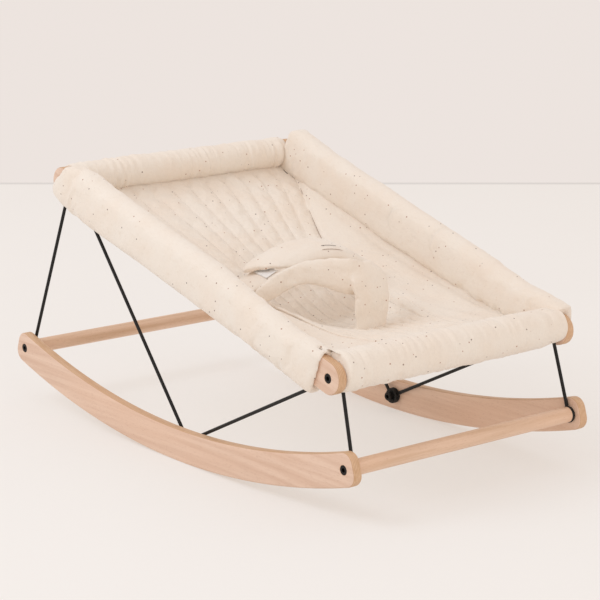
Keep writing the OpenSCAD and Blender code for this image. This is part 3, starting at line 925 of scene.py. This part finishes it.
# Hip wings, as (x, y, top z, bottom z) in mm from the crotch strap out to their tips
HIPS = {
    LEFT: [(6, -173, 290, 240), (26, -173, 296, 239), (40, -158, 296, 245), (54, -137, 293, 251),
           (66, -122, 289, 253), (80, -111, 283, 247), (94, -102, 276, 238), (108, -95, 267, 231),
           (120, -91, 258, 229), (130, -88, 251, 230)],
    RIGHT: [(4, -172, 289, 240), (17, -171, 283, 237), (29, -169, 272, 233), (39, -163, 263, 231),
            (49, -152, 256, 231), (57, -140, 249, 232)],
}
CROTCH_W = 58 * MM
STRAP_T = 8 * MM
STRAP_POWER = 3.2  # of a strap's section
STRAP_POINTS = 28
FOLD_AXIS = Vector((0, -180, 203)) * MM
BELT_W = 55 * MM
BELT_MID_Y = -48 * MM
BELT_CROWN = (8 * MM, 287 * MM)
BELT_FALL = 2.4  # fall from the crown, in metres for each metre squared
BELT_SINK = 16 * MM  # its right part lies this much lower
BELT_LEFT, BELT_RIGHT = -103 * MM, 128 * MM
BELT_TIP = 16 * MM  # length of its rounded left tip
BELT_ROOT = Vector((140, -48, 219)) * MM
ROOT_T = 4.4 * MM
BELT_TILT = math.radians(8)
BELT_ACROSS = Vector((0, math.cos(BELT_TILT), math.sin(BELT_TILT)))
BELT_FRONT = [(-103, -30), (-92, -40), (-80, -57), (-66, -70), (-45, -78), (60, -78), (90, -70), (115, -60),
              (133, -55)]  # its front edge, as (x, y) in mm
BELT_DROOP = 9 * MM  # the front edge hangs this far below the belt's middle
# Rows of stitches on the belt, as (place across it, from x, to x, thread) in mm
BELT_STITCHES = [(-13, 13, 39, GREY_THREAD), (-21, 9, 47, BROWN_THREAD_AND_SEAM_SHADOW)]
TAPE_T = 2 * MM
TAB = [(-127, 236), (-125, 240), (-122, 246), (-114, 251), (-98, 256), (-82, 262), (-70, 267)]
TAB_W = 44 * MM
TAB_T = 5 * MM
TAPE_FROM = -92 * MM  # the tab's hook tape runs from here to its tip


def strap_ring(middle, wide, thick, half, depth):
    """A rounded flat section: half its width along wide, half its thickness along thick."""
    return [middle + wide * half * signed_power(math.cos(a), 2 / STRAP_POWER)
            + thick * depth * signed_power(math.sin(a), 2 / STRAP_POWER) for a in round_angles(STRAP_POINTS)]


def way_at(line, i):
    """The way along a line at its point i, of any length."""
    return line[min(i + 1, len(line) - 1)] - line[max(i - 1, 0)]


def rounded_tip(past, reach):
    """A strap's share of its full width, past the place where its tip starts to close."""
    return math.sqrt(max(1 - max(0, past / reach) ** 2, 0.05))


def crotch_piece():
    """The crotch strap and its two hip wings, one soft padded piece."""
    line = spline([(0, y * MM, z * MM) for y, z in CROTCH], 5)
    sideways = Vector((1, 0, 0))
    rings = []
    for i, p in enumerate(line):
        thick = sideways.cross(way_at(line, i).normalized())
        share = i / (len(line) - 1)
        flare = 1 + 0.16 * math.sin(math.pi * share) ** 2 + 0.16 * (1 - smooth_step(share * 6))
        flare -= 0.5 * smooth_step((share - 0.68) / 0.32)
        rings.append(strap_ring(p, sideways, thick, CROTCH_W / 2 * flare - MM, STRAP_T / 2))
    tubes = [rings]
    for side in SIDE_NAMES:
        tops, lows = (spline([(side * row[0] * MM, row[1] * MM, row[k] * MM) for row in HIPS[side]], 6)
                      for k in (2, 3))
        rings = []
        for i, (t, b) in enumerate(zip(tops, lows)):
            way = way_at(tops, i)
            thick = Vector((-way.y, way.x, 0)).normalized()
            close = rounded_tip(i - len(tops) + 5, 4.6)
            half = (t - b).length / 2 * close - MM
            rings.append(strap_ring((t + b) / 2, (t - b).normalized(), thick, half, STRAP_T / 2 * close))
        tubes.append(rings)
    piece = loft("crotch_pad", *tubes)
    remesh(piece, 3 * MM, 4)
    puff(piece, 3.0, 3 * MM, lambda p: 1 - smooth_step((p[2] - FOLD_AXIS.z) / (18 * MM)), slack=0.05)

    def tuck(p):
        """Creases where the wings leave the strap."""
        top = smooth_step((p.z - 250 * MM) / (30 * MM)) * bell(abs(p.x) - 30 * MM, 9 * MM)
        return 1.1 * MM * uneven(p.x * 45, p.y * 30, p.z * 55) * (1 + 1.2 * top)

    push(piece, tuck)
    paint(piece, COTTON)
    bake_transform(piece)
    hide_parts("crotch_strap", "left_hip_wing", "right_hip_wing")


def belt_middle(x):
    past = x - BELT_CROWN[0]
    fall = BELT_FALL * past ** 2 + BELT_SINK * smooth_step(past / (110 * MM)) ** 1.5
    return Vector((x, BELT_MID_Y, BELT_CROWN[1] - fall))


def belt_frame(x):
    """A point half the belt's thickness above its middle line at X, and its outward normal there."""
    way = belt_middle(x + MM) - belt_middle(x - MM)
    lean = math.atan2(way.z, way.x)
    out = Vector((-math.sin(lean), 0, math.cos(lean)))
    return belt_middle(x) + out * STRAP_T / 2, out


def belt_tip(x):
    """1 at the belt's left tip, and 0 past it."""
    return max(0.0, 1 - (x - BELT_LEFT) / BELT_TIP)


def belt_edges(x):
    """How far the belt's front and rear edges are from its middle line at X."""
    front = BELT_MID_Y - between(x, [(a * MM, b * MM) for a, b in BELT_FRONT])
    rear = BELT_W / 2 * math.sqrt(max(1 - belt_tip(x) ** 2 * 0.6, 0))
    return front, rear


def belt_ring(x, lift, trim, depth):
    """A ring as wide as the belt at X, less trim at each edge, and lift above it."""
    p, out = belt_frame(x)
    front, rear = belt_edges(x)
    middle = p + BELT_ACROSS * (rear - front) / 2 + out * lift
    return strap_ring(middle, BELT_ACROSS, out, (rear + front) / 2 - trim, depth)


def belt():
    """The padded waist belt: its left tip is cut aslant, its front edge droops, its right end is sewn in."""
    rings = []
    for x in spread(BELT_LEFT, BELT_RIGHT, 80):
        p, out = belt_frame(x)
        ring = belt_ring(x, 0, 0, STRAP_T / 2 * math.sqrt(max(1 - belt_tip(x) ** 4, 0.15)))
        ease = smooth_step((BELT_RIGHT - x) / (60 * MM)) * smooth_step((x - BELT_LEFT) / (60 * MM))
        droop = out * BELT_DROOP * ease
        rings.append([q - droop * min((q - p).dot(BELT_ACROSS) / (BELT_W / 2), 0.0) ** 2 for q in ring])
    p, _ = belt_frame(BELT_RIGHT)
    front, rear = belt_edges(BELT_RIGHT)
    for share in (0.35, 0.7, 1.0):
        middle = p.lerp(BELT_ROOT, share) + BELT_ACROSS * (rear - front) / 2
        rings.append(strap_ring(middle, BELT_ACROSS, Vector((0.8, 0, 0.6)), (rear + front) / 2,
                                mix(STRAP_T, ROOT_T, share) / 2))
    piece = loft("belt_pad", rings)
    subdivide(piece)
    push(piece, lambda p: MM * (0.9 * uneven(p.x * 26, p.y * 40, 2) + 0.5 * uneven(p.x * 90, p.y * 60, 5)))
    paint(piece, COTTON)
    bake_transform(piece)
    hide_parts("waist_belt")


def belt_stitches():
    for number, (across, start, end, material) in enumerate(BELT_STITCHES):
        droop = BELT_DROOP * (across * MM / (BELT_W / 2)) ** 2
        row = []
        for x in spread(start, end, 29):
            p, out = belt_frame(x * MM)
            row.append(p + BELT_ACROSS * across * MM + out * (STRAP_T / 2 + 0.35 * MM - droop))
        stitches(f"belt_stitches_{number}", [row], Vector((0, -0.3, 1)).normalized(),
                 (2.6 * MM, 2.7 * MM, 0.5 * MM), material, "belt")


def belt_tape():
    """The loop tape under the belt's tip."""
    rings = [belt_ring(x, -(STRAP_T + TAPE_T) / 2, 6 * MM, TAPE_T / 2)
             for x in spread(BELT_LEFT + 14 * MM, BELT_LEFT + 46 * MM, 20)]
    loops = paint(loft("belt_loop_tape", rings), TAPE)
    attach(loops, "belt")
    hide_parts("belt_loop_patch")


def tab_and_tape():
    """The short tab that the belt closes on, with its hook tape."""
    line = spline([(x * MM, BELT_MID_Y, z * MM) for x, z in TAB], 6)
    rings, hooks = [], []
    for i, p in enumerate(line):
        way = way_at(line, i).normalized()
        out = Vector((-way.z, 0, way.x)).normalized()
        end = rounded_tip(i - len(line) + 4, 4.4)
        half = TAB_W / 2 * (0.5 + 0.5 * end)
        rings.append(strap_ring(p - out * TAB_T / 2, BELT_ACROSS, out, half, TAB_T / 2 * end))
        if p.x > TAPE_FROM:
            middle = p + out * 0.9 * MM + BELT_ACROSS * 2 * MM
            hooks.append(strap_ring(middle, BELT_ACROSS, out, TAB_W / 2 - 5 * MM, 0.8 * MM))
    tab = loft("tab_pad", rings)
    subdivide(tab)
    paint(tab, COTTON)
    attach(tab, "frame")
    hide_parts("belt_tab")
    tape = paint(loft("tab_hook_tape", hooks), TAPE)
    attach(tape, "frame")
    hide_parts("tab_hook_patch")


# ---------- studio ----------

WALL = (0.845, 0.776, 0.737)
FLOOR_GLOW = (0.485, 0.455, 0.426)
FLOOR_PALE = (0.41, 0.405, 0.40)
FLOOR_DARK = (0.385, 0.375, 0.37)
CAMERA_AT = Vector((-2.0115, -2.4963, 0.9481))
CAMERA_AZIMUTH = math.radians(-39.185)
CAMERA_ELEVATION = math.radians(13.112)
CAMERA_LENS = 133.71  # mm, on a 36 mm sensor
FORWARD = Vector((-math.sin(CAMERA_AZIMUTH), math.cos(CAMERA_AZIMUTH), 0))
BELOW_CAMERA = Vector((CAMERA_AT.x, CAMERA_AT.y, 0))
FLOOR_HALF = 6.0
# The floor and a slightly darker line along its far end, as (name, near end, far end, glow) from the camera
FLOORS = [("floor", -3.0, 5.3, 1.0), ("floor_edge", 5.3, 5.325, 0.72)]
LAMP_TARGET = Vector((0, 0, 0.2))
# Disk lights, as (name, place, size, power, colour)
LAMPS = [("key", (-2.2, 0.9, 2.5), 1.8, 31, (0.76, 0.87, 1.0)),
         ("fill", (-0.6, -3.0, 1.6), 2.4, 13, (0.9, 0.95, 1.0))]


def look(thing, way):
    """Turns a lamp or camera to face along way."""
    thing.rotation_mode = "QUATERNION"
    thing.rotation_quaternion = way.to_track_quat("-Z", "Y")
    bpy.context.scene.collection.objects.link(thing)


def surroundings():
    world = bpy.data.worlds.new("studio")
    world.use_nodes = True
    background = world.node_tree.nodes["Background"]
    background.inputs["Color"].default_value = (*WALL, 1)
    background.inputs["Strength"].default_value = 1.0
    bpy.context.scene.world = world
    across = Vector((FORWARD.y, -FORWARD.x, 0)) * FLOOR_HALF
    for name, near, far, glow in FLOORS:
        n = Nodes(f"pale_{name}", 0.8, Specular_IOR_Level=0.1, Emission_Color=(*FLOOR_GLOW, 1),
                  Emission_Strength=glow)
        shade = n.blend(n.noise(n.place, 1.2), FLOOR_PALE, FLOOR_DARK)
        start, end = BELOW_CAMERA + FORWARD * near, BELOW_CAMERA + FORWARD * far
        corners = [start - across, start + across, end + across, end - across]
        floor = paint(new_object(name, corners, [(0, 1, 2, 3)]), n.finish(shade))


def lamps():
    for name, place, size, power, colour in LAMPS:
        light = bpy.data.lights.new(name, "AREA")
        light.shape = "DISK"
        light.size = size
        light.energy = power
        light.color = colour
        lamp = bpy.data.objects.new(name, light)
        lamp.location = place
        look(lamp, LAMP_TARGET - Vector(place))


def camera():
    data = bpy.data.cameras.new("camera")
    data.lens = CAMERA_LENS
    data.sensor_width = 36
    data.clip_start, data.clip_end = 0.05, 50
    view = bpy.data.objects.new("camera", data)
    view.location = CAMERA_AT
    look(view, FORWARD * math.cos(CAMERA_ELEVATION) - Vector((0, 0, math.sin(CAMERA_ELEVATION))))
    bpy.context.scene.camera = view


# ---------- assembly ----------

bpy.context.scene.view_settings.view_transform = "Standard"
finish_cad_nodes()
make_boards()
rail_cover(
    LEFT,
    front_hem=lambda t: 0.0185 - 0.07 * t + 0.3 * max(-0.02 - t, 0),
    rear_hem=lambda t: 0.653 - 0.7 * max(t + 0.002, 0) - 5.0 * min(t + 0.005, 0) ** 2,
    cuffs=(0.68, 0.95),
    tops=[(0.0, 0.028), (0.06, 0.031), (0.14, 0.036), (0.3, 0.044), (0.58, 0.042), (0.66, 0.035)],
    lows=[(0.015, -0.037), (0.4, -0.039), (0.55, -0.041), (0.61, -0.036), (0.65, -0.026)],
    seed=1.7,
)
rail_cover(
    RIGHT,
    front_hem=lambda t: -0.003 + 0.35 * max(0.015 - t, 0),
    rear_hem=lambda t: 0.638 - 5.0 * (t + 0.005) ** 2,
    cuffs=(0.85, 1.04),
    tops=[(0.0, 0.037), (0.3, 0.046), (0.43, 0.049), (0.6, 0.052), (0.66, 0.052)],
    lows=[(0.05, -0.033), (0.35, -0.036), (0.5, -0.032), (0.65, -0.028)],
    seed=8.3,
    puckers=[(0.266, -0.012, 0.0, 0.05), (0.36, -0.010, -0.005, 0.04)],
)
bar_cover(
    "head_cover", HEAD_PAD, HEAD_PAD_R, half_len=INNER_X - 1 * MM,
    tapers=((23 * MM, 20 * MM), (23.5 * MM, 20 * MM)),
    seed=4.1, pitch=7 * MM, depth=2.1 * MM,
    folds=[(0.186, 2.6, 5 * MM, 2.6 * MM), (0.176, 3.4, 3.5 * MM, -2.6 * MM),
           (0.194, 4.0, 3 * MM, -2.4 * MM)],
    cad_nodes=["head_bar_sleeve", "head_bar_wadding"],
)
bar_cover(
    "foot_cover", FOOT_PAD, FOOT_PAD_R, half_len=INNER_X - 0.5 * MM,
    tapers=((28 * MM, 20 * MM), (24 * MM, 90 * MM)),
    seed=2.9, pitch=9 * MM, depth=1.7 * MM,
    folds=[(-0.176, 3.3, 2.2 * MM, -3.0 * MM), (-0.168, 3.6, 5 * MM, 1.8 * MM),
           (0.16, 2.6, 6 * MM, 1.2 * MM)],
    cad_nodes=["foot_bar_sleeve", "foot_bar_wadding"],
)
quilted_seat()
seat_stitches()
for wing_side in SIDE_NAMES:
    side_wing(wing_side)
crotch_piece()
belt()
belt_stitches()
belt_tape()
tab_and_tape()
surroundings()
lamps()
camera()
